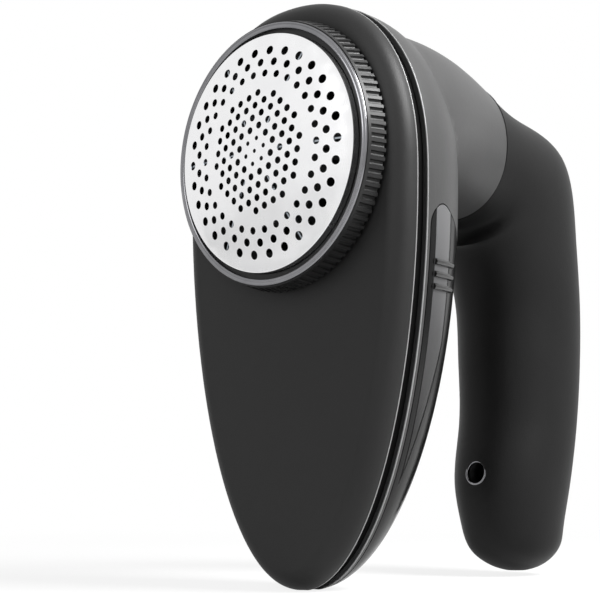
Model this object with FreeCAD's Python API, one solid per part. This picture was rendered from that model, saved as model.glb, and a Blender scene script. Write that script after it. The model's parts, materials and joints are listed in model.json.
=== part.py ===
import FreeCAD, Part
import math
import os

# Rechargeable fabric shaver: an oval head with a perforated foil on its front,
# six spinning blades behind the foil, a pull-off lint bin under the motor and a
# hollow handle that runs back from the head and turns down beside it.
#
# Everything is modelled about the foil: X is right, Y is the foil's axis and
# points to the back, Z is up, and y = 0 is the plane of the foil's rim. save()
# moves each piece to the standing frame, whose origin is under the middle of
# the shaver on the surface that it stands on.

Vec = FreeCAD.Vector

# ---------------------------------------------------------------- sizes, in mm

# Head outline, seen from the front
head_half_width = 36.1
widest_z = -5.6
head_drop = 95.8            # widest point down to the tip
head_rise = 42.8            # widest point up to the top
rise_power = 2.2            # the top is a little squarer than an ellipse

# Head layers, front to back
cover_face_y = 7.0
cover_edge_y = 12.6
cover_edge_radius = 4.8
groove_width = 3.4
groove_depth = 1.3
hull_depth = 32.8           # rear shell, behind the groove
hull_turns = (0, 8, 17, 27, 38, 49, 60, 70, 78, 84, 88)
wall = 2.0
bulkhead_thickness = 2.0

# Foil, its carrier and the screwed ring that holds them
foil_radius = 28.15
foil_dome = 3.4
foil_thickness = 0.3
foil_skirt = 2.2
carrier_flange_y = 2.5
carrier_end_y = 3.35
ring_bore_radius = 29.0
ring_lip_radius = 28.35
ring_front_y = 1.9
ring_back_y = 6.3
ring_front_radius = 31.4
ring_back_radius = 32.3
ring_rib_count = 100
ring_rib_depth = 0.45
bezel_inner_radius = 29.55
bezel_outer_radius = 31.14
bezel_front_y = 0.9
collar_front_y = 3.4
collar_wall = 1.9
running_gap = 0.06

# Cutting blades
blade_count = 6
blade_tip_radius = 25.0
blade_root_radius = 4.2
blade_thickness = 0.4
blade_gap = 0.15            # behind the foil
disc_radius = 25.4
disc_front_y = 3.7
disc_thickness = 1.5
rib_width = 2.6
hub_radius = 6.6
hub_back_y = 8.4
spring_seat_y = 6.3
blade_travel = 1.0

# Drive and motor
shaft_radius = 1.0
shaft_front_y = 5.2
coupler_flats = 7.0
coupler_front_y = 4.4
coupler_back_y = 12.0
coupler_flange_radius = 5.9
coupler_flange_thickness = 1.2
spring_radius = 5.3
spring_wire = 0.5
spring_turns = 4
motor_radius = 12.0
motor_can_length = 24.0
motor_wall = 1.0
motor_cap_thickness = 2.4
boss_radius = 3.2
boss_length = 1.6
bush_radius = 2.4
magnet_radius = 10.9
magnet_thickness = 2.4
armature_radius = 7.9
armature_length = 13.0
commutator_radius = 3.0
commutator_length = 4.0
terminal_reach = 2.0        # how far a terminal goes into the can
terminal_x = 7.0
brush_length = 3.2
brush_gap = 0.08
brush_leaf_thickness = 0.3
bush_gap = 0.03
magnet_half_gap = 3.2

# Handle: stations down its middle, from inside the head to just above its end
# (y, z, half width, half depth, degrees that the axis has turned down from +Y)
handle_stations = [
    (24.0, 5.0, 31.5, 29.0, 3),
    (42.0, 10.0, 27.0, 23.4, 9),
    (64.4, 9.7, 19.6, 18.5, 12),
    (79.5, 5.7, 18.3, 17.0, 20),
    (89.0, 0.4, 17.8, 21.9, 48),
    (93.1, -11.0, 17.0, 19.7, 78),
    (96.6, -27.0, 16.2, 17.3, 90),
    (97.1, -44.0, 15.4, 17.3, 93),
    (96.0, -62.0, 14.9, 16.3, 96),
    (92.9, -79.0, 14.2, 15.9, 98),
    (92.9, -88.5, 12.8, 14.2, 96),
]
handle_power = 2.15
handle_end_y = 94.6
handle_end_z = -100.3
handle_end_turns = (32, 52, 68, 79)     # degrees round the quarter ellipse of its lower end
seam_y = 68.0               # where the handle's sleeve meets the head
sleeve_wall = 1.2
sleeve_gap = 0.14
core_wall = 1.8
core_spigot = 8.0           # how far the core reaches into the head
fit_gap = 0.15

# Charging inlet, in the handle's front, and its board
port_z = -74.2
port_radius = 3.0
jack_length = 9.0
jack_width = 9.0
jack_wall = 1.2
jack_pin_radius = 0.65
jack_pin_length = 4.6
board_width = 15.0
board_height = 16.0
board_thickness = 1.2

# Rechargeable cell, upright in the handle
cell_radius = 9.2
cell_length = 58.0
cell_y = 96.2
cell_top_z = -4.0
cell_cap_height = 1.4
cell_contact_radius = 6.4
cradle_zs = (-14.0, -54.0)  # shelves in the cores that hold the cell
cradle_thickness = 1.6

# Switch on top of the arm, behind the seam
switch_y = 78.0
switch_travel = 4.0
slider_length = 12.0
slider_width = 8.4
slider_rise = 0.5
slider_sink = 0.7           # how far its pad goes into the sleeve
switch_body_size = (7.0, 13.0, 5.0)

# Lint bin, in the lower back of the head
bin_front_y = 17.5
bin_gap = 0.3
bin_wall = 1.7
partition_wall = 1.2        # housing floor over the bin
bin_arch = [(17.5, -21.5), (18.1, -16.8), (21.7, -13.8), (26.6, -15.2), (31.0, -17.7), (35.0, -21.5)]
bin_mouth_half_width = 15.0
bin_mouth_top_z = -18.6
bin_mouth_bottom_z = -56.0
bin_rib_zs = (-26.9, -29.7, -32.5)
bin_rib_height = 0.5
bin_rib_thickness = 1.1
rail_x = 20.5
rail_top_z = -26.0
rail_length = 27.0
rail_stem_half = 1.0
rail_head_half = 2.4
rail_head_front = 1.8       # behind the bin's front face
rail_head_back = 3.2
rail_gap = 0.25
rail_guide_half = 4.2
duct_half_width = 12.0
duct_top_z = -18.6
duct_bottom_z = -25.4

# Screws
screw_radius = 1.0
screw_head_radius = 1.9
screw_head_height = 1.2
screw_socket_depth = 0.6
screw_socket_radius = 0.7

# ------------------------------------------------------- sizes worked out

rear_y = cover_edge_y + groove_width
collar_outer_radius = ring_bore_radius - running_gap
well_radius = collar_outer_radius - collar_wall
floor_z = widest_z - head_drop
handle_back_y = max(y + depth for y, _, _, depth, tilt in handle_stations if tilt > 75)
standing_offset = Vec(0, (foil_dome - handle_back_y) / 2.0, -floor_z)
motor_front_y = cover_edge_y + bulkhead_thickness
motor_back_y = motor_front_y + motor_can_length + motor_cap_thickness
dome_sphere_radius = (foil_radius ** 2 + foil_dome ** 2) / (2.0 * foil_dome)


def save(shape, name):
    moved = shape.copy()
    moved.translate(standing_offset)
    moved.exportStep("parts/" + name + ".step")


# ------------------------------------------------------------ basic shapes

def rod(radius, y_front, y_back, x=0.0, z=0.0):
    return Part.makeCylinder(radius, y_back - y_front, Vec(x, y_front, z), Vec(0, 1, 0))


def pipe(outer, inner, y_front, y_back, x=0.0, z=0.0):
    return rod(outer, y_front, y_back, x, z).cut(rod(inner, y_front - 1, y_back + 1, x, z))


def block(x_low, x_high, y_low, y_high, z_low, z_high):
    return Part.makeBox(x_high - x_low, y_high - y_low, z_high - z_low, Vec(x_low, y_low, z_low))


def turned(radius_y_points):
    """A solid of revolution about the foil's axis from (radius, y) points."""
    points = [Vec(radius, y, 0) for radius, y in radius_y_points]
    face = Part.Face(Part.makePolygon(points + points[:1]))
    return face.revolve(Vec(0, 0, 0), Vec(0, 1, 0), 360)


def around_axis(shape, count, start=0.0):
    copies = []
    for index in range(count):
        copy = shape.copy()
        copy.rotate(Vec(0, 0, 0), Vec(0, 1, 0), start + index * 360.0 / count)
        copies.append(copy)
    return copies


# ------------------------------------------------------------ head outline

def outline_point(angle, inset):
    """A point of the head's outline, 0 degrees on the right and 90 at the top."""
    width = head_half_width - inset
    cosine = math.cos(math.radians(angle))
    sine = math.sin(math.radians(angle))
    if sine <= 0:
        return width * cosine, widest_z + (head_drop - inset) * sine
    power = 2.0 / rise_power
    x = math.copysign(width * abs(cosine) ** power, cosine)
    return x, widest_z + (head_rise - inset) * sine ** power


def outline_face(inset, y):
    points = []
    for step in range(48):
        x, z = outline_point(step * 7.5, inset)
        points.append(Vec(x, y, z))
    curve = Part.BSplineCurve()
    curve.interpolate(points, PeriodicFlag=True)
    return Part.Face(Part.Wire(curve.toShape()))


def outline_slab(inset, y_front, y_back):
    return outline_face(inset, y_front).extrude(Vec(0, y_back - y_front, 0))


def closed_curve(points):
    """A smooth loop whose parameter runs evenly from point to point."""
    count = len(points)
    curve = Part.BSplineCurve()
    places = [step / count for step in range(count + 1)]
    curve.interpolate(Points=points, PeriodicFlag=True, Parameters=places)
    return curve


def skinned(curves, along):
    """A solid with a smooth skin through like loops and a flat cap at each end."""
    along = [(value - along[0]) / (along[-1] - along[0]) for value in along]
    ribs = []
    for column in zip(*[curve.getPoles() for curve in curves]):
        rib = Part.BSplineCurve()
        rib.interpolate(Points=list(column), Parameters=along)
        ribs.append(rib)
    section = curves[0]
    skin = Part.BSplineSurface()
    skin.buildFromPolesMultsKnots([rib.getPoles() for rib in ribs], section.getMultiplicities(),
                                  ribs[0].getMultiplicities(), section.getKnots(), ribs[0].getKnots(),
                                  True, False, section.Degree, ribs[0].Degree)
    side = skin.toShape()
    rims = [edge for edge in side.Edges if edge.isClosed()]
    shell = Part.makeShell([side] + [Part.Face(Part.Wire(edge)) for edge in rims])
    shell.sewShape(0.0001)
    return Part.Solid(shell.Shells[0])


def hull(inset):
    """The rear shell's outside, or an offset of it: the outline shrinks along a
    quarter ellipse from the flat front to a small flat at the very back."""
    curves = []
    for turn in hull_turns:
        shrink = math.cos(math.radians(turn))
        depth = math.sin(math.radians(turn))
        rise = (1.0 - depth ** rise_power) ** (1.0 / rise_power)
        points = []
        for step in range(48):
            x, z = outline_point(step * 7.5, inset)
            height = z - widest_z
            height *= rise if height > 0 else shrink
            points.append(Vec(x * shrink, rear_y + (hull_depth - inset) * depth, widest_z + height))
        curves.append(closed_curve(points))
    return skinned(curves, hull_turns)


# ---------------------------------------------------------------- handle tube

def section_curve(station, inset):
    """A closed curve round one station, a little squarer than an ellipse."""
    y, z, half_width, half_depth, tilt = station
    across = Vec(0, math.sin(math.radians(tilt)), math.cos(math.radians(tilt)))
    points = []
    power = 2.0 / handle_power
    for step in range(24):
        angle = math.radians(step * 15.0)
        x = math.copysign(abs(math.cos(angle)) ** power, math.cos(angle)) * (half_width - inset)
        rise = math.copysign(abs(math.sin(angle)) ** power, math.sin(angle)) * (half_depth - inset)
        points.append(Vec(x, y, z) + across * rise)
    return closed_curve(points)


def handle_end_stations(inset):
    """Rounded lower end: sections that shrink along a quarter ellipse."""
    y, z, half_width, half_depth, tilt = handle_stations[-1]
    end_z = handle_end_z + inset
    stations = []
    for angle in handle_end_turns:
        shrink = math.cos(math.radians(angle))
        drop = math.sin(math.radians(angle))
        middle = y + (handle_end_y - y) * drop
        stations.append((middle, z + (end_z - z) * drop, (half_width - inset) * shrink,
                         (half_depth - inset) * shrink, 90))
    return stations


def handle_tube(inset):
    """A smooth skin through every station, with a flat cap at each end."""
    ends = handle_end_stations(inset)
    curves = [section_curve(station, inset) for station in handle_stations]
    curves += [section_curve(station, 0.0) for station in ends]
    middles = [Vec(0, station[0], station[1]) for station in handle_stations + ends]
    along = [0.0]
    for before, after in zip(middles, middles[1:]):
        along.append(along[-1] + (after - before).Length + 0.5)
    return skinned(curves, along)


def behind(y):
    return block(-80, 80, y, 220, floor_z - 20, 80)


def in_front(y):
    return block(-80, 80, -60, y, floor_z - 20, 80)


# ------------------------------------------------------------------- the head

def make_foil_screen():
    middle_y = dome_sphere_radius - foil_dome
    outer = Part.makeSphere(dome_sphere_radius, Vec(0, middle_y, 0))
    inner = Part.makeSphere(dome_sphere_radius - foil_thickness, Vec(0, middle_y, 0))
    shell = outer.cut(inner).common(rod(foil_radius, -foil_dome - 1, 0.0))
    skirt = pipe(foil_radius, foil_radius - foil_thickness, -0.05, foil_skirt)
    foil = shell.fuse(skirt)
    drills = []
    for radius, x, z in foil_holes():
        drills.append(rod(radius, -foil_dome - 1, 2.0, x, z))
    return foil.cut(Part.makeCompound(drills))


def foil_holes():
    """Three outer rings of 30 holes round a patch on a six-sided grid."""
    holes = []
    for ring_radius, first_angle, hole_radius in ((24.1, 0, 1.05), (21.3, 6, 0.95), (18.5, 0, 0.87)):
        for index in range(30):
            angle = math.radians(first_angle + index * 12)
            holes.append((hole_radius, ring_radius * math.cos(angle), ring_radius * math.sin(angle)))
    pitch = 3.04
    turn = math.radians(18)
    for row in range(-5, 6):
        for column in range(-5, 6):
            across = pitch * (column + row / 2.0)
            up = pitch * row * math.sqrt(3) / 2.0
            distance = math.hypot(across, up)
            if distance > pitch * 4.62:
                continue
            hole_radius = 0.84
            if distance < pitch * 0.5:
                hole_radius = 0.5
            elif distance < pitch * 1.1:
                hole_radius = 0.55
            x = across * math.cos(turn) - up * math.sin(turn)
            z = across * math.sin(turn) + up * math.cos(turn)
            holes.append((hole_radius, x, z))
    return holes


def make_foil_carrier():
    inside = foil_radius - foil_thickness - running_gap
    flange = ring_bore_radius - fit_gap
    return turned([(inside - 1.2, 0.7), (inside, 0.7), (inside, foil_skirt + running_gap),
                   (foil_radius, foil_skirt + running_gap), (foil_radius, carrier_flange_y),
                   (flange, carrier_flange_y), (flange, carrier_end_y), (inside - 1.2, carrier_end_y)])


def make_lock_ring():
    rim = bezel_outer_radius + 0.05
    ring = turned([(ring_lip_radius, ring_front_y), (rim, ring_front_y), (rim, ring_front_y - 0.5),
                   (ring_front_radius, ring_front_y - 0.5), (ring_back_radius, ring_back_y),
                   (ring_bore_radius, ring_back_y), (ring_bore_radius, carrier_flange_y - running_gap),
                   (ring_lip_radius, carrier_flange_y - running_gap)])
    length = ring_back_y - ring_front_y + 2.0
    slope = math.atan2(ring_back_radius - ring_front_radius, ring_back_y - ring_front_y + 0.5)
    groove = Part.makeCylinder(0.62, length, Vec(0, 0, 0), Vec(0, 1, 0))
    groove.rotate(Vec(0, 0, 0), Vec(0, 0, 1), -math.degrees(slope))
    groove.translate(Vec(ring_front_radius + 0.62 - ring_rib_depth, ring_front_y + 0.3, 0))
    return ring.cut(Part.makeCompound(around_axis(groove, ring_rib_count)))


def make_bezel_ring():
    inner = bezel_inner_radius
    outer = bezel_outer_radius
    front = bezel_front_y
    back = ring_front_y
    return turned([(inner, back), (inner, front + 0.35), (inner + 0.35, front), (outer - 0.5, front),
                   (outer, front + 0.45), (outer, back)])


def make_front_cover():
    outer = outline_slab(0.0, cover_face_y, cover_edge_y)
    front_edges = [edge for edge in outer.Edges if abs(edge.BoundBox.YMax - cover_face_y) < 0.01]
    outer = outer.makeFillet(cover_edge_radius, front_edges)
    inner = outline_slab(wall + 2.4, cover_face_y + wall, cover_edge_y + 1)
    rim = outline_slab(wall, cover_edge_y - 1.6, cover_edge_y + 1)
    cover = outer.cut(inner.fuse(rim))
    boss = rod(collar_outer_radius + 0.2 + wall, cover_face_y + 0.5, cover_edge_y)
    cover = cover.fuse(boss)
    cover = cover.cut(rod(collar_outer_radius + 0.2, 0, cover_edge_y + 1))
    for x, z in cover_screw_places():
        cover = cover.fuse(rod(3.0, cover_face_y + wall - 0.2, cover_edge_y, x, z))
        cover = cover.cut(rod(screw_radius, cover_edge_y - 3.0, cover_edge_y + 1, x, z))
    for x, z in housing_screw_places():
        recess_y = cover_edge_y - screw_head_height - 0.2
        cover = cover.cut(rod(screw_head_radius + 0.2, recess_y, cover_edge_y, x, z))
    return cover


def cover_screw_places():
    return [(0.0, -42.0), (0.0, -78.0)]


def housing_screw_places():
    return [(-24.0, 21.5), (24.0, 21.5)]


def motor_screw_places():
    return [(-8.0, 0.0), (8.0, 0.0)]


def make_chassis():
    plate = outline_slab(groove_depth, cover_edge_y, rear_y)
    hollow = outline_slab(groove_depth + wall, cover_edge_y + bulkhead_thickness, rear_y + 1)
    chassis = plate.cut(hollow)
    chassis = chassis.fuse(rod(collar_outer_radius, collar_front_y, cover_edge_y + 0.5))
    chassis = chassis.cut(rod(well_radius, collar_front_y - 1, cover_edge_y))
    duct = block(-duct_half_width, duct_half_width, cover_edge_y - 1, rear_y, duct_bottom_z, duct_top_z)
    duct_walls = block(-duct_half_width - wall, duct_half_width + wall, cover_edge_y + 0.5, rear_y,
                       duct_bottom_z - wall, duct_top_z + wall)
    chassis = chassis.fuse(duct_walls).cut(duct)
    chassis = chassis.cut(rod(boss_radius + fit_gap, cover_edge_y - 1, rear_y))
    for x, z in motor_screw_places():
        chassis = chassis.cut(rod(screw_radius, cover_edge_y - 1, rear_y, x, z))
    for x, z in cover_screw_places():
        chassis = chassis.cut(rod(screw_radius + fit_gap, cover_edge_y - 1, rear_y, x, z))
    for x, z in housing_screw_places():
        chassis = chassis.fuse(rod(3.2, cover_edge_y + 0.5, rear_y, x, z))
        chassis = chassis.cut(rod(screw_radius + fit_gap, cover_edge_y - 1, rear_y + 1, x, z))
    for side in (-1, 1):
        chassis = chassis.fuse(bin_rail(side * rail_x))
    return chassis


def bin_rail(x):
    """A T-shaped rail on the back of the chassis that the bin slides down."""
    low_z = rail_top_z - rail_length
    head_front = bin_front_y + rail_head_front
    head_back = bin_front_y + rail_head_back
    stem = block(x - rail_stem_half, x + rail_stem_half, cover_edge_y + 0.5, head_front + 0.2,
                 low_z, rail_top_z)
    head = block(x - rail_head_half, x + rail_head_half, head_front, head_back, low_z, rail_top_z)
    return stem.fuse(head)


def make_bin_seal():
    low = block(-bin_mouth_half_width - 2.2, bin_mouth_half_width + 2.2, cover_edge_y + bulkhead_thickness,
                bin_front_y - 0.1, bin_mouth_bottom_z - 2.2, bin_mouth_top_z + 1.6)
    hole = block(-bin_mouth_half_width, bin_mouth_half_width, 0, 40,
                 bin_mouth_bottom_z, duct_bottom_z - wall - 0.1)
    window = block(-duct_half_width - wall - 0.1, duct_half_width + wall + 0.1, 0, 40,
                   duct_bottom_z - wall - 0.2, duct_top_z + wall + 3)
    return low.cut(hole).cut(window)


# --------------------------------------------------------------- rear housing

def bin_zone(gap):
    """Everything under the arch that parts the bin from the housing, or that
    region grown by a gap."""
    places = [Vec(-60, y, z) for y, z in bin_arch]
    headings = [Vec(0, 0, 1)]
    for before, after in zip(places, places[2:]):
        headings.append((after - before).normalize())
    headings.append(Vec(0, 0.7, -0.7).normalize())
    points = [place + Vec(0, -heading.z, heading.y) * gap for place, heading in zip(places, headings)]
    curve = Part.BSplineCurve()
    curve.interpolate(points, InitialTangent=headings[0], FinalTangent=headings[-1])
    first = points[0]
    last = points[-1]
    back = Vec(-60, 90, last.z)
    corners = [last, back, Vec(-60, 90, floor_z - 15), Vec(-60, first.y, floor_z - 15), first]
    wire = Part.Wire([curve.toShape()] + Part.makePolygon(corners).Edges)
    return Part.Face(wire).extrude(Vec(120, 0, 0))


def make_rear_housing(tube_outer, tube_inner):
    outside = hull(0.0).fuse(tube_outer.common(behind(rear_y)).common(in_front(seam_y)))
    inside = hull(wall).fuse(tube_inner.common(behind(rear_y)).common(in_front(seam_y + 1)))
    housing = outside.cut(inside).cut(bin_zone(bin_gap))
    partition = bin_zone(bin_gap + partition_wall).cut(bin_zone(bin_gap)).common(hull(wall / 2.0))
    partition = partition.common(behind(bin_front_y)).cut(rod(motor_radius + bin_gap, 0, motor_back_y + 1))
    housing = housing.fuse(partition)
    for x, z in housing_screw_places():
        boss = rod(boss_radius, rear_y, rear_y + 9.0, x, z).common(hull(wall / 2.0))
        housing = housing.fuse(boss).cut(rod(screw_radius, rear_y - 1, rear_y + 7.5, x, z))
    return housing


def make_lint_bin():
    inner_zone = bin_zone(0.0)
    inner_zone.translate(Vec(0, bin_wall, -bin_wall))
    shell = hull(0.0).common(bin_zone(0.0))
    lint_bin = shell.cut(hull(bin_wall).common(inner_zone))
    for side in (-1, 1):
        x = side * rail_x
        guide = block(x - rail_guide_half, x + rail_guide_half, bin_front_y, bin_front_y + 5.0,
                      rail_top_z - rail_length - 2.5, 0)
        lint_bin = lint_bin.fuse(guide.common(shell))
        slot_low = rail_top_z - rail_length - rail_gap
        stem_half = rail_stem_half + rail_gap
        head_half = rail_head_half + rail_gap
        head_front = bin_front_y + rail_head_front - rail_gap
        head_back = bin_front_y + rail_head_back + rail_gap
        stem = block(x - stem_half, x + stem_half, 0, head_front + 0.2, slot_low, 0)
        head = block(x - head_half, x + head_half, head_front, head_back, slot_low, 0)
        lint_bin = lint_bin.cut(stem.fuse(head))
    mouth = block(-bin_mouth_half_width, bin_mouth_half_width, 0, bin_front_y + bin_wall + 0.1,
                  bin_mouth_bottom_z, bin_mouth_top_z)
    lint_bin = lint_bin.cut(mouth)
    for z in bin_rib_zs:
        half = bin_rib_thickness / 2.0
        span = block(-60, 60, bin_front_y + 3.3, bin_front_y + 11.0, z - half, z + half)
        ribs = hull(-bin_rib_height).common(span).cut(hull(0.4))
        lint_bin = lint_bin.fuse(ribs)
    return lint_bin


# ------------------------------------------------------------ blades and drive

def dome_y(radius):
    """Inside of the foil at this distance from its axis."""
    sphere = dome_sphere_radius - foil_thickness
    return dome_sphere_radius - foil_dome - math.sqrt(sphere ** 2 - radius ** 2)


def make_blades():
    half = blade_thickness / 2.0
    root = Vec(blade_root_radius, dome_y(blade_root_radius) + blade_gap, -half)
    middle_radius = (blade_root_radius + blade_tip_radius) / 2.0
    middle = Vec(middle_radius, dome_y(middle_radius) + blade_gap, -half)
    tip = Vec(blade_tip_radius, dome_y(blade_tip_radius) + blade_gap, -half)
    back = disc_front_y + 0.4
    edge = Part.Arc(root, middle, tip).toShape()
    rest = Part.makePolygon([tip, Vec(tip.x, back, -half), Vec(root.x, back, -half), root])
    leaf = Part.Face(Part.Wire([edge] + rest.Edges)).extrude(Vec(0, 0, blade_thickness))
    return Part.makeCompound(around_axis(leaf, blade_count))


def make_blade_disc():
    disc = rod(disc_radius, disc_front_y, disc_front_y + disc_thickness)
    disc = disc.fuse(rod(hub_radius, 0.4, hub_back_y))
    rib = block(hub_radius - 1, disc_radius - 1.2, 0.9, disc_front_y + 0.1, -rib_width / 2.0, rib_width / 2.0)
    disc = disc.multiFuse(around_axis(rib, blade_count))
    window = pipe(disc_radius - 2.4, disc_radius - 8.2, 0, 20)
    wedge_low = Part.makeBox(40, 40, 40, Vec(0, -10, 0))
    wedge_low.rotate(Vec(0, 0, 0), Vec(0, 1, 0), -11)
    wedge_high = Part.makeBox(40, 40, 40, Vec(0, -10, -40))
    wedge_high.rotate(Vec(0, 0, 0), Vec(0, 1, 0), -49)
    window = window.common(wedge_low).common(wedge_high)
    disc = disc.cut(Part.makeCompound(around_axis(window, blade_count)))
    disc = disc.cut(make_blades())
    disc = disc.cut(hexagon(coupler_flats + 0.16, 1.4, hub_back_y + 1))
    pocket = pipe(spring_radius + spring_wire, spring_radius - spring_wire, spring_seat_y, hub_back_y + 1)
    return disc.cut(pocket)


def hexagon(flats, y_front, y_back):
    points = []
    for index in range(7):
        angle = math.radians(30 + index * 60)
        reach = flats / math.sqrt(3)
        points.append(Vec(reach * math.cos(angle), y_front, reach * math.sin(angle)))
    return Part.Face(Part.makePolygon(points)).extrude(Vec(0, y_back - y_front, 0))


def make_drive_coupler():
    coupler = hexagon(coupler_flats, coupler_front_y, coupler_back_y)
    flange_front = coupler_back_y - coupler_flange_thickness
    coupler = coupler.fuse(rod(coupler_flange_radius, flange_front, coupler_back_y))
    return coupler.cut(rod(shaft_radius, shaft_front_y, coupler_back_y + 1))


def make_blade_spring():
    low = spring_seat_y + spring_wire / 2.0
    high = coupler_back_y - coupler_flange_thickness - spring_wire / 2.0
    helix = Part.makeHelix((high - low) / spring_turns, high - low, spring_radius)
    start = helix.Edges[0].valueAt(helix.Edges[0].FirstParameter)
    circle = Part.Wire(Part.makeCircle(spring_wire / 2.0, start, Vec(0, 1, 0)))
    spring = Part.Wire(helix.Edges).makePipeShell([circle], True, True)
    spring.rotate(Vec(0, 0, 0), Vec(1, 0, 0), -90)
    spring.translate(Vec(0, low, 0))
    return spring


def make_motor_can():
    can = rod(motor_radius, motor_front_y, motor_front_y + motor_can_length)
    can = can.fuse(rod(boss_radius, motor_front_y - boss_length, motor_front_y + 0.5))
    can = can.cut(rod(motor_radius - motor_wall, motor_front_y + motor_wall, motor_back_y))
    can = can.cut(rod(bush_radius, motor_front_y - boss_length - 1, motor_front_y + 2))
    for x, z in motor_screw_places():
        can = can.cut(rod(screw_radius, motor_front_y - 1, motor_front_y + 2, x, z))
    return can


def make_motor_end_cap():
    front = motor_front_y + motor_can_length
    cap = rod(motor_radius, front, motor_back_y)
    cap = cap.fuse(rod(boss_radius, motor_back_y - 0.5, motor_back_y + boss_length))
    cap = cap.cut(rod(bush_radius, front - 1, motor_back_y + boss_length - 0.5))
    for x in (-terminal_x, terminal_x):
        cap = cap.cut(block(x - 1.1, x + 1.1, front - 1, motor_back_y + 1, -0.4, 0.4))
    return cap


def make_motor_terminals():
    front = motor_front_y + motor_can_length
    tabs = []
    for x in (-terminal_x, terminal_x):
        tabs.append(block(x - 1.0, x + 1.0, front - terminal_reach, motor_back_y + 2.2, -0.25, 0.25))
    return Part.makeCompound(tabs)


def make_brushes():
    """Two carbon brushes on leaf springs, one on each side of the commutator."""
    middle = commutator_front_y() + commutator_length / 2.0
    pair = []
    for side in (-1, 1):
        inner = commutator_radius + brush_gap
        low = min(side * inner, side * (inner + brush_length))
        pair.append(block(low, low + brush_length, middle - 1.2, middle + 1.2, -1.0, 1.0))
    return Part.makeCompound(pair)


def make_brush_springs():
    middle = commutator_front_y() + commutator_length / 2.0
    front = motor_front_y + motor_can_length
    pair = []
    for side in (-1, 1):
        outer = commutator_radius + brush_gap + brush_length
        low = min(side * outer, side * (outer + brush_leaf_thickness))
        leaf = block(low, low + brush_leaf_thickness, middle - 1.0, front - terminal_reach, -0.9, 0.9)
        pair.append(leaf)
    return Part.makeCompound(pair)


def make_bushes():
    bore = shaft_radius + bush_gap
    front = pipe(bush_radius, bore, motor_front_y - boss_length, motor_front_y + motor_wall)
    back = pipe(bush_radius, bore, motor_front_y + motor_can_length, motor_back_y + boss_length - 0.5)
    return Part.makeCompound([front, back])


def make_magnets():
    ring = pipe(magnet_radius, magnet_radius - magnet_thickness, armature_front_y() - 1.0,
                armature_front_y() + armature_length + 1.0)
    upper = ring.common(block(-20, 20, 0, 60, magnet_half_gap, 20))
    lower = ring.common(block(-20, 20, 0, 60, -20, -magnet_half_gap))
    return Part.makeCompound([upper, lower])


def armature_front_y():
    return motor_front_y + 3.4


def commutator_front_y():
    return armature_front_y() + armature_length + 2.0


def make_armature():
    core = rod(armature_radius, armature_front_y(), armature_front_y() + armature_length)
    core = core.cut(rod(shaft_radius, 0, 60))
    slot = block(3.4, armature_radius + 1, 0, 60, -0.7, 0.7)
    pocket = pipe(armature_radius - 1.0, 3.4, 0, 60).common(block(0, 20, 0, 60, -1.9, 1.9))
    return core.cut(Part.makeCompound(around_axis(slot.fuse(pocket), 3)))


def make_commutator():
    front = commutator_front_y()
    ring = pipe(commutator_radius, shaft_radius, front, front + commutator_length)
    slit = block(commutator_radius - 0.7, commutator_radius + 1, 0, 60, -0.15, 0.15)
    return ring.cut(Part.makeCompound(around_axis(slit, 3, 60)))


# --------------------------------------------------------------------- handle

def make_handle_sleeve(tube_outer, tube_middle):
    sleeve = tube_outer.cut(tube_middle).common(behind(seam_y))
    sleeve = sleeve.cut(switch_recess())
    return sleeve.cut(charge_hole())


def make_handle_cores(core_outer, core_inner, spigot_outer):
    """Two half shells that meet on the middle plane under the sleeve."""
    body = core_outer.common(behind(seam_y))
    spigot = spigot_outer.common(behind(seam_y - core_spigot)).common(in_front(seam_y + 0.5))
    core = body.fuse(spigot).cut(core_inner)
    for z in cradle_zs:
        cradle = block(-60, 60, cell_y - 40, cell_y + 40, z, z + cradle_thickness)
        core = core.fuse(cradle.common(core_outer))
    for y, z in handle_screw_places():
        post = Part.makeCylinder(3.0, 50, Vec(-25, y, z), Vec(1, 0, 0)).common(core_outer)
        core = core.fuse(post)
    core = core.cut(Part.makeCompound(handle_screw_holes()))
    core = core.cut(charge_hole()).cut(switch_slot())
    core = core.cut(cell_space()).cut(charge_pocket())
    left = core.common(block(-60, 0, 0, 200, floor_z - 5, 60))
    right = core.common(block(0, 60, 0, 200, floor_z - 5, 60))
    return left, right


def handle_screw_places():
    return [(74.0, 6.0), (94.0, -68.5)]


def handle_screw_holes():
    holes = []
    for y, z in handle_screw_places():
        holes.append(Part.makeCylinder(screw_radius, 60, Vec(-8, y, z), Vec(1, 0, 0)))
        holes.append(Part.makeCylinder(screw_head_radius + 0.1, 40, Vec(4, y, z), Vec(1, 0, 0)))
    return holes


def charge_hole():
    return rod(port_radius, 60, handle_front_y(port_z) + 6.0, 0.0, port_z)


def handle_front_y(z):
    """Front of the handle at this height, between the two nearest stations."""
    upright = [station for station in handle_stations if station[4] > 85]
    for upper, lower in zip(upright, upright[1:]):
        if upper[1] >= z >= lower[1]:
            share = (upper[1] - z) / (upper[1] - lower[1])
            upper_front = upper[0] - upper[3]
            lower_front = lower[0] - lower[3]
            return upper_front + (lower_front - upper_front) * share
    return upright[0][0] - upright[0][3]


def jack_front_y():
    return handle_front_y(port_z) + sleeve_wall + core_wall + 0.1


def charge_pocket():
    """Room in the cores for the jack and its board."""
    front = jack_front_y()
    half = jack_width / 2.0 + fit_gap
    jack = block(-half, half, front - 0.1, front + jack_length, port_z - half, port_z + half)
    half = board_width / 2.0 + fit_gap
    board = block(-half, half, front + jack_length - fit_gap, front + jack_length + board_thickness + fit_gap,
                  board_low_z() - fit_gap, board_low_z() + board_height + fit_gap)
    return jack.fuse(board)


def board_low_z():
    return port_z - 10.5


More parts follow.
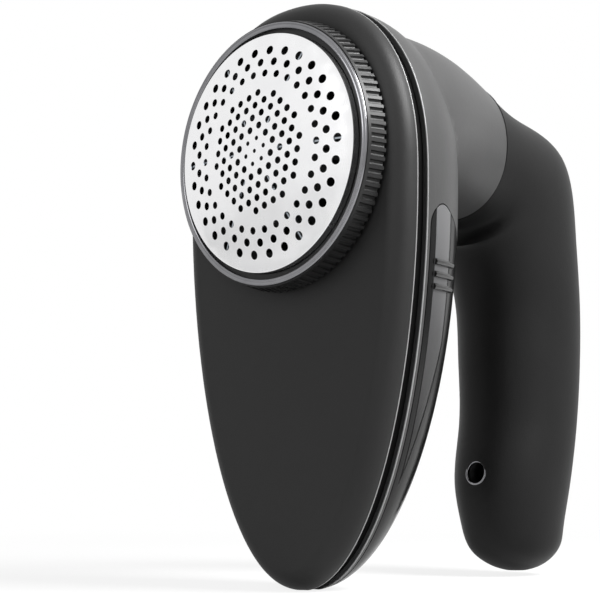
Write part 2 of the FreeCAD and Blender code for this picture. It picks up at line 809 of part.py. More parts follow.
def make_charge_jack():
    front = jack_front_y()
    half = jack_width / 2.0
    jack = block(-half, half, front, front + jack_length, port_z - half, port_z + half)
    hole = rod(port_radius + 0.2, front - 1, front + jack_length - jack_wall, 0.0, port_z)
    return jack.cut(hole).cut(rod(jack_pin_radius, front, front + jack_length + 1, 0.0, port_z))


def make_jack_pin():
    back = jack_front_y() + jack_length
    return rod(jack_pin_radius, back - jack_wall - jack_pin_length, back + board_thickness, 0.0, port_z)


def make_charge_board():
    front = jack_front_y() + jack_length
    half = board_width / 2.0
    board = block(-half, half, front, front + board_thickness, board_low_z(), board_low_z() + board_height)
    board = board.cut(rod(jack_pin_radius, front - 1, front + 3, 0.0, port_z))
    return board


def make_charge_chip():
    front = jack_front_y() + jack_length + board_thickness
    return block(-2.5, 2.5, front, front + 1.2, port_z - 8.0, port_z - 3.0)


def cell_space():
    top = Vec(0, cell_y, cell_top_z + 2.0)
    return Part.makeCylinder(cell_radius + 0.1, cell_length + 4.0, top, Vec(0, 0, -1))


def make_battery_cell():
    top = cell_top_z - cell_cap_height
    down = Vec(0, 0, -1)
    body = Part.makeCylinder(cell_radius, cell_length - cell_cap_height, Vec(0, cell_y, top), down)
    button = Part.makeCylinder(cell_radius * 0.3, cell_cap_height + 0.5, Vec(0, cell_y, cell_top_z), down)
    return body.fuse(button)


def make_cell_contacts():
    low_end = Vec(0, cell_y, cell_top_z - cell_length)
    top = Part.makeCylinder(cell_contact_radius, 0.5, Vec(0, cell_y, cell_top_z), Vec(0, 0, 1))
    bottom = Part.makeCylinder(cell_contact_radius, 0.5, low_end, Vec(0, 0, -1))
    return Part.makeCompound([top, bottom])


# --------------------------------------------------------------------- switch

def switch_placement():
    """Middle of the slider on the arm's top, and how far the top slopes down."""
    before, after = [pair for pair in zip(handle_stations, handle_stations[1:])
                     if pair[0][0] <= switch_y <= pair[1][0]][0]
    crests = []
    for y, z, _, half_depth, tilt in (before, after):
        turn = math.radians(tilt)
        crests.append((y + half_depth * math.sin(turn), z + half_depth * math.cos(turn)))
    (y_low, z_high), (y_high, z_low) = crests
    slope = math.degrees(math.atan2(z_high - z_low, y_high - y_low))
    z = z_high - (switch_y - y_low) * math.tan(math.radians(slope))
    return Vec(0, switch_y, z), slope


def on_arm(shape):
    place, slope = switch_placement()
    placed = shape.copy()
    placed.rotate(Vec(0, 0, 0), Vec(1, 0, 0), -slope)
    placed.translate(place)
    return placed


def switch_recess():
    half = slider_width / 2.0 + 0.3
    reach = slider_length / 2.0 + 0.4
    return on_arm(block(-half, half, -reach, reach + switch_travel, -3.0, 6.0))


def switch_slot():
    return on_arm(block(-2.0, 2.0, -4.0, 4.0 + switch_travel, -12.0, 6.0))


def make_switch_slider():
    half_length = slider_length / 2.0
    half_width = slider_width / 2.0
    base = -slider_sink
    pad = block(-half_width, half_width, -half_length, half_length, base, slider_rise - 0.5)
    for index in range(5):
        y = -4.0 + index * 2.0
        pad = pad.fuse(block(-half_width + 0.6, half_width - 0.6, y - 0.45, y + 0.45, base, slider_rise))
    stem = block(-1.5, 1.5, -3.0, 3.0, -5.4, base + 0.1)
    return on_arm(pad.fuse(stem))


def make_switch_body():
    width, length, height = switch_body_size
    top = -5.6
    body = block(-width / 2.0, width / 2.0, -5.0, length - 5.0, top - height, top)
    return on_arm(body)


# --------------------------------------------------------------------- screws

def screw(head_point, direction, length):
    shank = Part.makeCylinder(screw_radius, length, head_point, direction)
    back = Vec(direction).multiply(-screw_head_height)
    head = Part.makeCylinder(screw_head_radius, screw_head_height, head_point + back, direction)
    socket = Part.makeCylinder(screw_socket_radius, screw_socket_depth, head_point + back, direction)
    return shank.fuse(head).cut(socket)


def make_cover_screws():
    length = 4.6
    return Part.makeCompound([screw(Vec(x, motor_front_y, z), Vec(0, -1, 0), length)
                              for x, z in cover_screw_places()])


def make_housing_screws():
    return Part.makeCompound([screw(Vec(x, cover_edge_y, z), Vec(0, 1, 0), groove_width + 6.5)
                              for x, z in housing_screw_places()])


def make_motor_screws():
    return Part.makeCompound([screw(Vec(x, cover_edge_y, z), Vec(0, 1, 0), bulkhead_thickness + 1.5)
                              for x, z in motor_screw_places()])


def make_handle_screws():
    return Part.makeCompound([screw(Vec(4.0, y, z), Vec(-1, 0, 0), 11.0) for y, z in handle_screw_places()])


# ---------------------------------------------------------------------- build

def main():
    os.makedirs("parts", exist_ok=True)
    tube_outer = handle_tube(0.0)
    tube_housing_inner = handle_tube(wall)
    tube_sleeve_inner = handle_tube(sleeve_wall)
    core_outer = handle_tube(sleeve_wall + sleeve_gap)
    core_inner = handle_tube(wall + fit_gap + core_wall)
    spigot_outer = handle_tube(wall + fit_gap)
    left, right = make_handle_cores(core_outer, core_inner, spigot_outer)

    save(make_foil_screen(), "foil_screen")
    save(make_foil_carrier(), "foil_carrier")
    save(make_lock_ring(), "lock_ring")
    save(make_bezel_ring(), "bezel_ring")
    save(make_front_cover(), "front_cover")
    save(make_chassis(), "chassis")
    save(make_bin_seal(), "bin_seal")
    save(make_rear_housing(tube_outer, tube_housing_inner), "rear_housing")
    save(make_lint_bin(), "lint_bin")
    save(make_blades(), "blades")
    save(make_blade_disc(), "blade_disc")
    save(make_blade_spring(), "blade_spring")
    save(make_drive_coupler(), "drive_coupler")
    save(rod(shaft_radius, shaft_front_y, motor_back_y + boss_length - 0.8), "motor_shaft")
    save(make_armature(), "armature")
    save(make_commutator(), "commutator")
    save(make_motor_can(), "motor_can")
    save(make_motor_end_cap(), "motor_end_cap")
    save(make_motor_terminals(), "motor_terminals")
    save(make_magnets(), "motor_magnets")
    save(make_bushes(), "motor_bushes")
    save(make_brushes(), "motor_brushes")
    save(make_brush_springs(), "brush_springs")
    save(make_handle_sleeve(tube_outer, tube_sleeve_inner), "handle_sleeve")
    save(left, "handle_core_left")
    save(right, "handle_core_right")
    save(make_battery_cell(), "battery_cell")
    save(make_cell_contacts(), "cell_contacts")
    save(make_charge_board(), "charge_board")
    save(make_charge_chip(), "charge_chip")
    save(make_charge_jack(), "charge_jack")
    save(make_jack_pin(), "charge_jack_pin")
    save(make_switch_slider(), "switch_slider")
    save(make_switch_body(), "switch_body")
    save(make_cover_screws(), "cover_screws")
    save(make_housing_screws(), "housing_screws")
    save(make_motor_screws(), "motor_screws")
    save(make_handle_screws(), "handle_screws")


main()
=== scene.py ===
import json
import math

import bmesh
import bpy
from mathutils import Matrix, Vector
from mathutils.bvhtree import BVHTree

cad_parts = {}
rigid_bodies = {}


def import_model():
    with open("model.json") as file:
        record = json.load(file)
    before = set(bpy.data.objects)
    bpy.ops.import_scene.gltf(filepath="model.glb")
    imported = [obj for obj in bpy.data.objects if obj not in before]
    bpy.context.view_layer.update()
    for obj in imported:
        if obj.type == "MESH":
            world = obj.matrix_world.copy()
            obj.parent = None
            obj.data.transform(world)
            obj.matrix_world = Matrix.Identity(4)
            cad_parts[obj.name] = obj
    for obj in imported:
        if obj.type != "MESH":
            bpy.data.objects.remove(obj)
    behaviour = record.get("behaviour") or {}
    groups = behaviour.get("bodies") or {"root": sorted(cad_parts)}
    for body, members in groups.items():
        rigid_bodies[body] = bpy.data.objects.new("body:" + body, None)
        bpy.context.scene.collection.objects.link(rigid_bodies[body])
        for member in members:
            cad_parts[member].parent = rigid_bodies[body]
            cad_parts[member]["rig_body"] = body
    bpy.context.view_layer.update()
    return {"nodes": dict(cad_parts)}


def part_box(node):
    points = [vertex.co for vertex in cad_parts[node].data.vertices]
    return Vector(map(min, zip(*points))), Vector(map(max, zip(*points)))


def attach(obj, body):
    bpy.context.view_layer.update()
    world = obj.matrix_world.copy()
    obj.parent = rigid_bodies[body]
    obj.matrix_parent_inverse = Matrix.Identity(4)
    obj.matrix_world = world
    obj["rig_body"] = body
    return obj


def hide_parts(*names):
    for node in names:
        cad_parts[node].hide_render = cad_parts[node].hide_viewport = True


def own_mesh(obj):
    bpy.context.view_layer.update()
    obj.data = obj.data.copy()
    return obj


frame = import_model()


# ---------------------------------------------------------------- chassis
# The middle frame of the head, injection moulded in black ABS. It closes the
# groove between the two shells, carries the collar that the foil's ring screws
# onto, and holds the motor on its bulkhead.

class Value:
    """A number socket that adds Math nodes when it is calculated with."""

    def __init__(self, tree, socket):
        self.tree = tree
        self.socket = socket

    def combine(self, operation, first, second):
        node = self.tree.nodes.new("ShaderNodeMath")
        node.operation = operation
        for slot, term in zip(node.inputs, (first, second)):
            if isinstance(term, Value):
                self.tree.links.new(term.socket, slot)
            else:
                slot.default_value = term
        return Value(self.tree, node.outputs[0])

    def __add__(self, other):
        return self.combine("ADD", self, other)

    def __mul__(self, other):
        return self.combine("MULTIPLY", self, other)

    __radd__ = __add__
    __rmul__ = __mul__


class Finish:
    """A material being mixed: its nodes, and the sockets that vary."""

    def __init__(self, name, colour, roughness, metallic=0.0, coat=0.0, gloss=0.5):
        self.material = bpy.data.materials.new(name)
        self.material.use_nodes = True
        self.tree = self.material.node_tree
        self.shader = self.tree.nodes["Principled BSDF"]
        self.shader.inputs["Base Color"].default_value = (*colour, 1.0)
        self.shader.inputs["Roughness"].default_value = roughness
        self.shader.inputs["Metallic"].default_value = metallic
        self.shader.inputs["Coat Weight"].default_value = coat
        self.shader.inputs["Specular IOR Level"].default_value = gloss
        self.place = self.node("ShaderNodeTexCoord", {}, {}, "Object")

    def node(self, kind, settings, sockets, output=0):
        node = self.tree.nodes.new(kind)
        for name, setting in settings.items():
            setattr(node, name, setting)
        for name, value in sockets.items():
            if isinstance(value, Value):
                self.tree.links.new(value.socket, node.inputs[name])
            else:
                node.inputs[name].default_value = value
        return Value(self.tree, node.outputs[output])

    def stretched(self, scale):
        return self.node("ShaderNodeMapping", {}, {"Vector": self.place, "Scale": scale})

    def noise(self, grains_per_metre, detail=3.0, place=None):
        sockets = {"Vector": place or self.place, "Scale": grains_per_metre, "Detail": detail}
        return self.node("ShaderNodeTexNoise", {}, sockets)

    def feed(self, name, value):
        self.tree.links.new(value.socket, self.shader.inputs[name])

    def tint(self, amount, dark, light):
        """Colour that drifts between two shades as the amount goes from 0 to 1."""
        shade = self.node("ShaderNodeMix", {"data_type": "RGBA"}, {"Factor": amount}, "Result")
        mix = shade.socket.node
        mix.inputs["A"].default_value = (*dark, 1.0)
        mix.inputs["B"].default_value = (*light, 1.0)
        self.tree.links.new(mix.outputs["Result"], self.shader.inputs["Base Color"])

    def relief(self, height, depth):
        sockets = {"Height": height, "Strength": 1.0, "Distance": depth}
        self.feed("Normal", self.node("ShaderNodeBump", {}, sockets))


def moulded_plastic(name, shade, roughness, grain=1800.0, depth=0.00002, gloss=0.3):
    """Black plastic with the fine spark-eroded grain of its mould and a little wear."""
    finish = Finish(name, (shade, shade, shade), roughness, gloss=gloss)
    fine = finish.noise(grain, detail=4.0)
    wear = finish.noise(45.0, detail=5.0)
    finish.tint(wear, (shade * 0.86,) * 3, (shade * 1.14, shade * 1.14, shade * 1.15))
    finish.feed("Roughness", roughness - 0.07 + 0.1 * wear + 0.05 * fine)
    finish.relief(fine, depth)
    return finish.material


def paint(material, *nodes):
    for name in nodes:
        slots = frame["nodes"][name].data.materials
        slots.clear()
        slots.append(material)


paint(moulded_plastic("chassis_black", 0.002, 0.6, gloss=0.05), "chassis")


# ------------------------------------------------------------------ motor
# A small brushed motor: a drawn and zinc-plated steel can with a moulded cap
# crimped into it, sintered bushes, ferrite magnets, a wound armature and two
# carbon brushes on copper leaves. Two screws hold it to the bulkhead.

def drawn_metal(name, colour, roughness, streaks=(1.0, 12.0, 1.0)):
    """Metal with fine tool streaks along its length and a patchy sheen."""
    finish = Finish(name, colour, roughness, metallic=1.0)
    streak = finish.noise(900.0, detail=2.0, place=finish.stretched(streaks))
    patch = finish.noise(120.0, detail=4.0)
    finish.tint(patch, tuple(c * 0.85 for c in colour), colour)
    finish.feed("Roughness", roughness - 0.06 + 0.12 * streak + 0.06 * patch)
    finish.relief(streak, 0.000006)
    return finish.material


zinc_plate = drawn_metal("zinc_plate", (0.55, 0.55, 0.56), 0.34)
bronze = drawn_metal("sintered_bronze", (0.62, 0.45, 0.24), 0.45)
copper = drawn_metal("copper", (0.72, 0.36, 0.22), 0.32)
paint(zinc_plate, "motor_can", "motor_shaft", "motor_screws")
paint(moulded_plastic("cap_black", 0.012, 0.48), "motor_end_cap")
paint(bronze, "motor_bushes", "motor_terminals")
paint(copper, "armature", "commutator", "brush_springs")
paint(moulded_plastic("ferrite", 0.03, 0.7, grain=2600.0, depth=0.00004), "motor_magnets")
paint(moulded_plastic("carbon", 0.02, 0.62, grain=3200.0, depth=0.00003), "motor_brushes")


# ------------------------------------------------------- blades and drive
# Six ground spring-steel leaves set on edge in a moulded disc. The disc floats
# on a hexagonal drive sleeve on the motor's shaft, and a light coil spring
# keeps the leaves up against the foil.

def smoothed_copy(name, node, sharp_degrees, material):
    """A copy of a CAD piece with its faces joined up, shaded smooth between edges."""
    source = frame["nodes"][node]
    mesh = source.data.copy()
    mesh.name = name
    joined = bmesh.new()
    joined.from_mesh(mesh)
    bmesh.ops.remove_doubles(joined, verts=joined.verts, dist=0.000002)
    for face in joined.faces:
        face.smooth = True
    joined.to_mesh(mesh)
    joined.free()
    if mesh.has_custom_normals:
        mesh.attributes.remove(mesh.attributes["custom_normal"])
    mesh.set_sharp_from_angle(angle=math.radians(sharp_degrees))
    mesh.materials.clear()
    mesh.materials.append(material)
    piece = bpy.data.objects.new(name, mesh)
    bpy.context.scene.collection.objects.link(piece)
    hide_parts(node)
    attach(piece, source["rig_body"])
    return piece


ground_steel = drawn_metal("ground_steel", (0.34, 0.37, 0.40), 0.36, streaks=(1.0, 1.0, 9.0))
spring_steel = drawn_metal("spring_steel", (0.50, 0.50, 0.52), 0.28)
paint(ground_steel, "blades")
paint(moulded_plastic("disc_black", 0.014, 0.52), "blade_disc")
paint(moulded_plastic("coupler_black", 0.02, 0.42), "drive_coupler")

spring_coil = smoothed_copy("spring_coil", "blade_spring", 50.0, spring_steel)
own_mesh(spring_coil)


# ------------------------------------------------------------------- foil
# A thin nickel-steel foil, domed and etched with rings of holes round a patch
# on a six-sided grid, then polished. Its skirt is held in a moulded carrier
# ring that drops into the collar.

ring_low, ring_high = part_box("lock_ring")
axis_z = (ring_low.z + ring_high.z) / 2.0

polished = Finish("foil_steel", (0.86, 0.86, 0.87), 0.2, metallic=1.0)
turned = polished.node("ShaderNodeMapping", {}, {"Vector": polished.place, "Location": (0.0, 0.0, -axis_z)})
rings = polished.node("ShaderNodeTexWave", {"wave_type": "RINGS", "rings_direction": "Y"},
                      {"Vector": turned, "Scale": 700.0, "Distortion": 2.0, "Detail": 2.0})
scuffs = polished.noise(160.0, detail=5.0)
polished.tint(scuffs, (0.80, 0.80, 0.81), (0.90, 0.90, 0.905))
polished.feed("Roughness", 0.2 + 0.08 * scuffs + 0.03 * rings)
polished.relief(rings * 0.4 + scuffs, 0.000004)
smoothed_copy("foil", "foil_screen", 32.0, polished.material)

paint(moulded_plastic("carrier_black", 0.008, 0.5), "foil_carrier")


# -------------------------------------------------------------- lock ring
# A moulded black ring with a fine knurl of upright ribs round its outside. It
# screws onto the collar and clamps the foil's carrier.

ring_black = moulded_plastic("ring_black", 0.009, 0.4, grain=2200.0, depth=0.000015, gloss=0.25)
smoothed_copy("knurled_ring", "lock_ring", 28.0, ring_black)


# ------------------------------------------------------------------ bezel
# A turned and bright-plated trim ring, pressed onto the front of the lock
# ring. Its face is a shallow channel between two rounded lips.

def turned_ring(name, profile, centre, segments, material, body):
    """A ring spun about the foil's axis from (radius, y) points in metres."""
    mesh = bpy.data.meshes.new(name)
    ring = bmesh.new()
    corners = [ring.verts.new((radius, y, 0.0)) for radius, y in profile]
    edges = [ring.edges.new(pair) for pair in zip(corners, corners[1:] + corners[:1])]
    bmesh.ops.spin(ring, geom=corners + edges, cent=(0, 0, 0), axis=(0, 1, 0), angle=math.tau,
                   steps=segments, use_merge=True, use_duplicate=False)
    bmesh.ops.recalc_face_normals(ring, faces=ring.faces)
    for face in ring.faces:
        face.smooth = True
    bmesh.ops.translate(ring, verts=ring.verts, vec=centre)
    ring.to_mesh(mesh)
    ring.free()
    mesh.set_sharp_from_angle(angle=math.radians(40.0))
    mesh.materials.append(material)
    piece = bpy.data.objects.new(name, mesh)
    bpy.context.scene.collection.objects.link(piece)
    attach(piece, body)
    return piece


bezel_low, bezel_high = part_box("bezel_ring")
bezel_outer = (bezel_high.x - bezel_low.x) / 2.0
BEZEL_WIDTH = 0.00159
bezel_inner = bezel_outer - BEZEL_WIDTH
front = bezel_low.y
back = bezel_high.y
inner_lip = [(0.0, 0.00042), (0.00005, 0.00022), (0.00017, 0.00006), (0.00032, 0.0),
             (0.00046, 0.00004), (0.0006, 0.00014)]     # (in from the edge, behind the front)
outer_lip = [(0.00056, 0.00014), (0.00042, 0.00004), (0.00028, 0.00003),
             (0.00012, 0.00014), (0.00003, 0.00032), (0.0, 0.00052)]
bezel_profile = [(bezel_inner, back)]
bezel_profile += [(bezel_inner + across, front + behind) for across, behind in inner_lip]
bezel_profile += [(bezel_outer - across, front + behind) for across, behind in outer_lip]
bezel_profile.append((bezel_outer, back))
bright_plate = Finish("bright_plate", (0.22, 0.22, 0.23), 0.16, metallic=1.0)
smear = bright_plate.noise(210.0, detail=4.0)
bright_plate.tint(smear, (0.17, 0.17, 0.18), (0.26, 0.26, 0.27))
bright_plate.feed("Roughness", 0.12 + 0.12 * smear)
bright_plate.relief(bright_plate.noise(1500.0), 0.000002)
bezel = turned_ring("bezel", bezel_profile, (0.0, 0.0, axis_z), 160, bright_plate.material, "ring")
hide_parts("bezel_ring")


# ------------------------------------------------------------ front cover
# The front half of the head's shell, moulded in matte black ABS with a soft
# round edge. Two screws from inside pull it against the chassis, and a thin
# lip runs round its back edge along the groove.

cover_matte = moulded_plastic("cover_matte", 0.009, 0.5, grain=2000.0, depth=0.000025, gloss=0.22)
smoothed_copy("cover_shell", "front_cover", 34.0, cover_matte)
cover_low, cover_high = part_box("front_cover")
half_width = (cover_high.x - cover_low.x) / 2.0
drop = 0.0958                # widest point down to the tip
widest_z = cover_low.z + drop
rise = cover_high.z - widest_z
RISE_POWER = 2.2             # the top is a little squarer than an ellipse
LIP_INSET = 0.00005
LIP_BACK = 0.0001            # from the groove's edge to the lip


def bead_along(name, points, closed, thickness, material, body):
    """A thin round bead through a row of points."""
    path = bpy.data.curves.new(name, "CURVE")
    path.dimensions = "3D"
    path.bevel_depth = thickness / 2.0
    path.bevel_resolution = 2
    path.use_fill_caps = not closed
    spline = path.splines.new("POLY")
    spline.points.add(len(points) - 1)
    spline.use_cyclic_u = closed
    for point, place in zip(spline.points, points):
        point.co = (*place, 1.0)
    strand = bpy.data.objects.new(name + "_path", path)
    bpy.context.scene.collection.objects.link(strand)
    mesh = bpy.data.meshes.new_from_object(strand.evaluated_get(bpy.context.evaluated_depsgraph_get()))
    bpy.data.objects.remove(strand)
    mesh.name = name
    for face in mesh.polygons:
        face.use_smooth = True
    mesh.materials.clear()
    mesh.materials.append(material)
    piece = bpy.data.objects.new(name, mesh)
    bpy.context.scene.collection.objects.link(piece)
    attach(piece, body)
    return piece


def round_bead(name, place, thickness, material):
    """A bead along a closed line, which place() gives from a unit circle."""
    loop = bmesh.new()
    bmesh.ops.create_circle(loop, segments=180, radius=1.0)
    points = [place(corner.co.x, corner.co.y) for corner in loop.verts]
    loop.free()
    return bead_along(name, points, True, thickness, material, "shell")


def outline_at(y, inset):
    """The head's outline at one depth, as a function of a unit circle."""
    def place(across, up):
        if up > 0.0:
            across = math.copysign(abs(across) ** (2.0 / RISE_POWER), across)
            return (half_width - inset) * across, y, widest_z + (rise - inset) * up ** (2.0 / RISE_POWER)
        return (half_width - inset) * across, y, widest_z + (drop - inset) * up
    return place


# Painted highlight: the lip beads on both edges of the groove are coloured light grey so that they show as
# bright lines where the shells' edges catch the light.
lip_painted_highlight = moulded_plastic("lip_painted_highlight", 0.2, 0.3, grain=1500.0, depth=0.00001, gloss=0.6)
round_bead("cover_highlight_lip", outline_at(cover_high.y - LIP_BACK, LIP_INSET), 0.00035, lip_painted_highlight)
paint(zinc_plate, "cover_screws")


# ----------------------------------------------------------- rear housing
# The back half of the head's shell with the hollow neck that runs to the
# handle. It is moulded in one piece in a satin black, with a thin lip along
# the groove, and two screws fix it to the chassis.

housing_satin = moulded_plastic("housing_satin", 0.034, 0.42, grain=1500.0, depth=0.000018, gloss=0.3)
smoothed_copy("housing_shell", "rear_housing", 34.0, housing_satin)
housing_low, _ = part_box("rear_housing")
# The housing's lip bead takes the same light grey, a painted highlight line.
round_bead("housing_highlight_lip", outline_at(housing_low.y + LIP_BACK, LIP_INSET), 0.0004, lip_painted_highlight)
paint(zinc_plate, "housing_screws")


# --------------------------------------------------------------- lint bin
# A glossy smoke-black bin, moulded in ABS and polished in the tool. It slides
# down off two rails, three small ribs give the thumb a grip, and a rubber
# gasket seals its mouth.

bin_low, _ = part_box("lint_bin")
FACE_FRONT = 0.0021          # behind the bin's front edge
FACE_BACK = 0.0096
TAPER_TOP = 0.056            # height where the face starts to narrow to the tip
TAPER_END = 0.02
TAPER = 0.0085
SHEEN_FULL_HEIGHT = 0.086           # the painted highlight on the bin's face fades out below this height, down to the next
SHEEN_GONE_HEIGHT = 0.036
smoke = Finish("bin_smoke", (0.02, 0.02, 0.02), 0.2, gloss=0.12)
depth_y = smoke.node("ShaderNodeSeparateXYZ", {}, {"Vector": smoke.place}, "Y")
after_chamfer = smoke.node("ShaderNodeMapRange", {"clamp": True, "interpolation_type": "SMOOTHSTEP"}, {
    "Value": depth_y,
    "From Min": bin_low.y + FACE_FRONT - 0.0004, "From Max": bin_low.y + FACE_FRONT + 0.0001})
height_z = smoke.node("ShaderNodeSeparateXYZ", {}, {"Vector": smoke.place}, "Z")
narrowed = smoke.node("ShaderNodeMapRange", {"clamp": True}, {
    "Value": height_z, "From Min": TAPER_TOP, "From Max": TAPER_END, "To Min": 0.0, "To Max": TAPER})
before_edge = smoke.node("ShaderNodeMapRange", {"clamp": True, "interpolation_type": "SMOOTHSTEP"}, {
    "Value": depth_y + narrowed,
    "From Min": bin_low.y + FACE_BACK - 0.0008, "From Max": bin_low.y + FACE_BACK,
    "To Min": 1.0, "To Max": 0.0})
on_face = after_chamfer * before_edge
painted_sheen_by_height = smoke.node("ShaderNodeMapRange", {"clamp": True}, {
    "Value": height_z, "From Min": SHEEN_GONE_HEIGHT, "From Max": SHEEN_FULL_HEIGHT, "To Min": 0.04, "To Max": 1.0})
# Painted light: the bin's face is coloured lighter as a painted highlight that fades out towards the tip.
# The chamfer and the back beyond the face's edge stay near black as painted shade.
smoke.tint(on_face * painted_sheen_by_height, (0.003, 0.003, 0.003), (0.09, 0.09, 0.092))
swirl = smoke.noise(300.0, detail=4.0)
smoke.feed("Roughness", 0.16 + 0.08 * swirl)
smoke.relief(on_face + 0.02 * swirl, 0.0005)
smoothed_copy("bin_shell", "lint_bin", 30.0, smoke.material)

GRIP_TOP = 0.0745            # middle of the highest grip rib
GRIP_PITCH = 0.0028
GRIP_THICKNESS = 0.0015
GRIP_CLEAR = 0.0009          # from a rib's middle to the plain wall beside it
GRIP_LENGTH = 0.0089
GRIP_STEPS = 14

bin_mesh = frame["nodes"]["lint_bin"].data
bin_wall = BVHTree.FromPolygons([corner.co for corner in bin_mesh.vertices],
                                [face.vertices[:] for face in bin_mesh.polygons])


def wall_points(side, height):
    """Points on the bin's side wall at one height, from the face's front edge back."""
    points = []
    for step in range(GRIP_STEPS + 1):
        y = bin_low.y + FACE_FRONT + step * GRIP_LENGTH / GRIP_STEPS
        across = []
        for z in (height - GRIP_CLEAR, height + GRIP_CLEAR):
            outside = Vector((side * 0.1, y, z))
            across.append(bin_wall.ray_cast(outside, Vector((-side, 0.0, 0.0)))[0].x)
        points.append((sum(across) / 2.0, y, height))
    return points


rib_gloss = moulded_plastic("rib_gloss", 0.006, 0.25, depth=0.000005, gloss=0.5)
for side, hand in ((-1, "left"), (1, "right")):
    for count in range(3):
        rib_points = wall_points(side, GRIP_TOP - count * GRIP_PITCH)
        bead_along(f"grip_rib_{hand}_{count}", rib_points, False, GRIP_THICKNESS, rib_gloss, "bin")

paint(moulded_plastic("gasket_rubber", 0.014, 0.75, grain=2600.0, depth=0.00003), "bin_seal")


# ----------------------------------------------------------- handle cores
# Two half shells in black ABS that meet on the middle plane. Screws through
# posts hold them together, and their spigot reaches into the neck of the rear
# housing.

paint(moulded_plastic("core_black", 0.02, 0.55), "handle_core_left", "handle_core_right")
paint(zinc_plate, "handle_screws")


# --------------------------------------------------------- cell and board
# An 18 mm rechargeable cell in its shrink wrap, with nickel contact plates at
# both ends, and a small green board with the charging chip and the inlet that
# is soldered to it.

wrap = Finish("cell_wrap", (0.04, 0.13, 0.30), 0.3)
crease = wrap.noise(260.0, detail=2.0, place=wrap.stretched((1.0, 1.0, 0.15)))
wrap.tint(crease, (0.035, 0.11, 0.27), (0.05, 0.16, 0.34))
wrap.feed("Roughness", 0.24 + 0.12 * crease)
wrap.relief(crease, 0.00003)
paint(wrap.material, "battery_cell")
paint(spring_steel, "cell_contacts", "charge_jack_pin")

board = Finish("solder_mask", (0.015, 0.11, 0.04), 0.35)
weave = board.noise(700.0, detail=2.0)
board.tint(weave, (0.012, 0.09, 0.03), (0.02, 0.14, 0.05))
board.feed("Roughness", 0.28 + 0.16 * weave)
board.relief(weave, 0.00002)
paint(board.material, "charge_board")
paint(moulded_plastic("chip_black", 0.012, 0.5), "charge_chip")
paint(moulded_plastic("jack_black", 0.006, 0.45), "charge_jack")


# ---------------------------------------------------------- handle sleeve
# The skin of the arm and the handle, moulded in a soft-touch black over the
# two cores. The charging hole near its lower end has a thin bright eyelet
# pressed into it.

soft_touch = moulded_plastic("soft_touch", 0.008, 0.44, grain=2400.0, depth=0.00003, gloss=0.1)
smoothed_copy("sleeve_skin", "handle_sleeve", 36.0, soft_touch)

sleeve_low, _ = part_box("handle_sleeve")
sleeve_mesh = frame["nodes"]["handle_sleeve"].data
rim = [corner.co for corner in sleeve_mesh.vertices if corner.co.y < sleeve_low.y + 0.00001]
rim_top = max(corner.z for corner in rim)
rim_bottom = min(corner.z for corner in rim)
rim_half = max(corner.x for corner in rim)
SEAM_POWER = 2.15


def seam_point(across, up):
    """A point on the neck's section for a point on a unit circle."""
    x = math.copysign(abs(across) ** (2.0 / SEAM_POWER), across) * rim_half
    z = math.copysign(abs(up) ** (2.0 / SEAM_POWER), up) * (rim_top - rim_bottom) / 2.0
    return x, sleeve_low.y, z + (rim_top + rim_bottom) / 2.0


seam_black = moulded_plastic("seam_black", 0.002, 0.6, gloss=0.05)
round_bead("neck_seam", seam_point, 0.0003, seam_black)

jack_low, jack_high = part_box("charge_jack")
port_z = (jack_low.z + jack_high.z) / 2.0
EYELET_RADIUS = 0.003
eyelet_section = [            # (out from the hole's edge, back from the sleeve)
    (-0.0002, 0.0006), (-0.0002, -0.00005), (-0.0001, -0.00016), (0.00008, -0.0002), (0.00026, -0.00016),
    (0.00034, 0.0), (0.00034, 0.0001), (-0.00002, 0.0001), (-0.00002, 0.0006)]
eyelet_profile = [(EYELET_RADIUS + out, behind) for out, behind in eyelet_section]
eyelet = turned_ring("port_eyelet", eyelet_profile, (0.0, 0.0, 0.0), 48, bright_plate.material, "shell")
FRONT_LEAN = math.radians(9.0)
JACK_DEPTH = 0.0032          # from the sleeve's front to the inlet
eyelet.data.transform(Matrix.Rotation(-FRONT_LEAN, 4, "X"))
eyelet.data.transform(Matrix.Translation((0.0, jack_low.y - JACK_DEPTH, port_z)))


# ----------------------------------------------------------------- switch
# A ribbed slide in satin black that runs 4 mm down the slope of the arm, on a
# small steel-cased slide switch under the skin.

slide_satin = moulded_plastic("slide_satin", 0.03, 0.36)
smoothed_copy("slide_cap", "switch_slider", 30.0, slide_satin)
paint(zinc_plate, "switch_body")


# ---------------------------------------------------- floor, light, camera
# A plain white floor that fades into a white surround, two broad soft lamps
# and a camera in front and to the right, a little above the floor.

def stage_plane(name, size, material):
    mesh = bpy.data.meshes.new(name)
    sheet = bmesh.new()
    bmesh.ops.create_grid(sheet, x_segments=1, y_segments=1, size=size)
    sheet.to_mesh(mesh)
    sheet.free()
    mesh.materials.append(material)
    plane = bpy.data.objects.new(name, mesh)
    bpy.context.scene.collection.objects.link(plane)
    return plane


paper = bpy.data.materials.new("white_paper")
paper.use_nodes = True
tree = paper.node_tree
body = tree.nodes["Principled BSDF"]
body.inputs["Base Color"].default_value = (0.9, 0.9, 0.9, 1.0)
body.inputs["Roughness"].default_value = 0.8
glow = tree.nodes.new("ShaderNodeEmission")
blend = tree.nodes.new("ShaderNodeMixShader")
rays = tree.nodes.new("ShaderNodeLightPath")
spot = tree.nodes.new("ShaderNodeTexCoord")
reach = tree.nodes.new("ShaderNodeVectorMath")
reach.operation = "LENGTH"
tree.links.new(spot.outputs["Object"], reach.inputs[0])
fade = tree.nodes.new("ShaderNodeMapRange")
fade.interpolation_type = "SMOOTHSTEP"
tree.links.new(reach.outputs["Value"], fade.inputs["Value"])
for name, number in {"From Min": 0.06, "From Max": 0.45, "To Min": 0.84, "To Max": 1.0}.items():
    fade.inputs[name].default_value = number
seen = Value(tree, rays.outputs["Is Camera Ray"]) * Value(tree, fade.outputs[0])
mirrored = Value(tree, rays.outputs["Is Glossy Ray"])
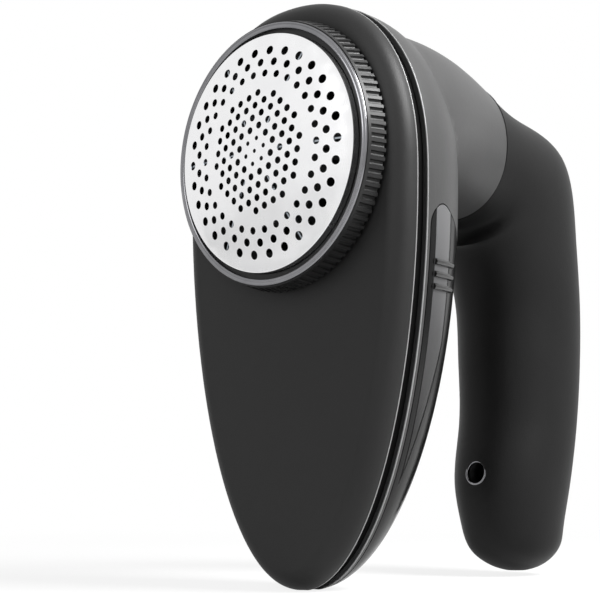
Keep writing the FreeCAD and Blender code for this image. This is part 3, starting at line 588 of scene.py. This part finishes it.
tree.links.new((seen + mirrored * 0.5).socket, blend.inputs["Fac"])
tree.links.new(body.outputs[0], blend.inputs[1])
tree.links.new(glow.outputs[0], blend.inputs[2])
tree.links.new(blend.outputs[0], tree.nodes["Material Output"].inputs["Surface"])
stage_plane("floor", 6.0, paper)

world = bpy.data.worlds.new("surround")
bpy.context.scene.world = world
world.use_nodes = True
tree = world.node_tree
sky = tree.nodes["Background"]
rays = tree.nodes.new("ShaderNodeLightPath")
seen = Value(tree, rays.outputs["Is Camera Ray"])
mirrored = Value(tree, rays.outputs["Is Glossy Ray"])
through = Value(tree, rays.outputs["Is Transmission Ray"])
tree.links.new((0.14 + 0.86 * (seen + mirrored + through)).socket, sky.inputs["Strength"])
sky.inputs["Color"].default_value = (1.0, 1.0, 1.0, 1.0)


def soft_lamp(name, place, target, size, watts):
    lamp = bpy.data.lights.new(name, "AREA")
    lamp.shape = "RECTANGLE"
    lamp.size, lamp.size_y = size
    lamp.energy = watts
    holder = bpy.data.objects.new(name, lamp)
    holder.location = place
    holder.rotation_euler = (Vector(place) - Vector(target)).to_track_quat("Z", "Y").to_euler()
    bpy.context.scene.collection.objects.link(holder)


middle = (0.0, 0.0, 0.075)
soft_lamp("side_lamp", (0.36, 0.1, 0.42), (0.0, 0.0, 0.11), (0.22, 0.25), 6.5)
soft_lamp("front_lamp", (0.15, -0.9, 0.6), middle, (0.6, 0.6), 4.5)

camera = bpy.data.objects.new("camera", bpy.data.cameras.new("camera"))
camera.data.lens = 97.655
camera.data.sensor_width = 36.0
camera.data.clip_start = 0.01
turn = math.radians(44.486)
tip = math.radians(-6.195)
away = Vector((math.sin(turn) * math.cos(tip), -math.cos(turn) * math.cos(tip), math.sin(tip)))
right = Vector((math.cos(turn), math.sin(turn), 0.0))
upward = away.cross(right)
camera.matrix_world = Matrix.Translation((0.26829, -0.31692, 0.02617)) @ Matrix(
    (right, upward, away)).transposed().to_4x4()
bpy.context.scene.collection.objects.link(camera)
bpy.context.scene.camera = camera
bpy.context.scene.view_settings.view_transform = "Standard"
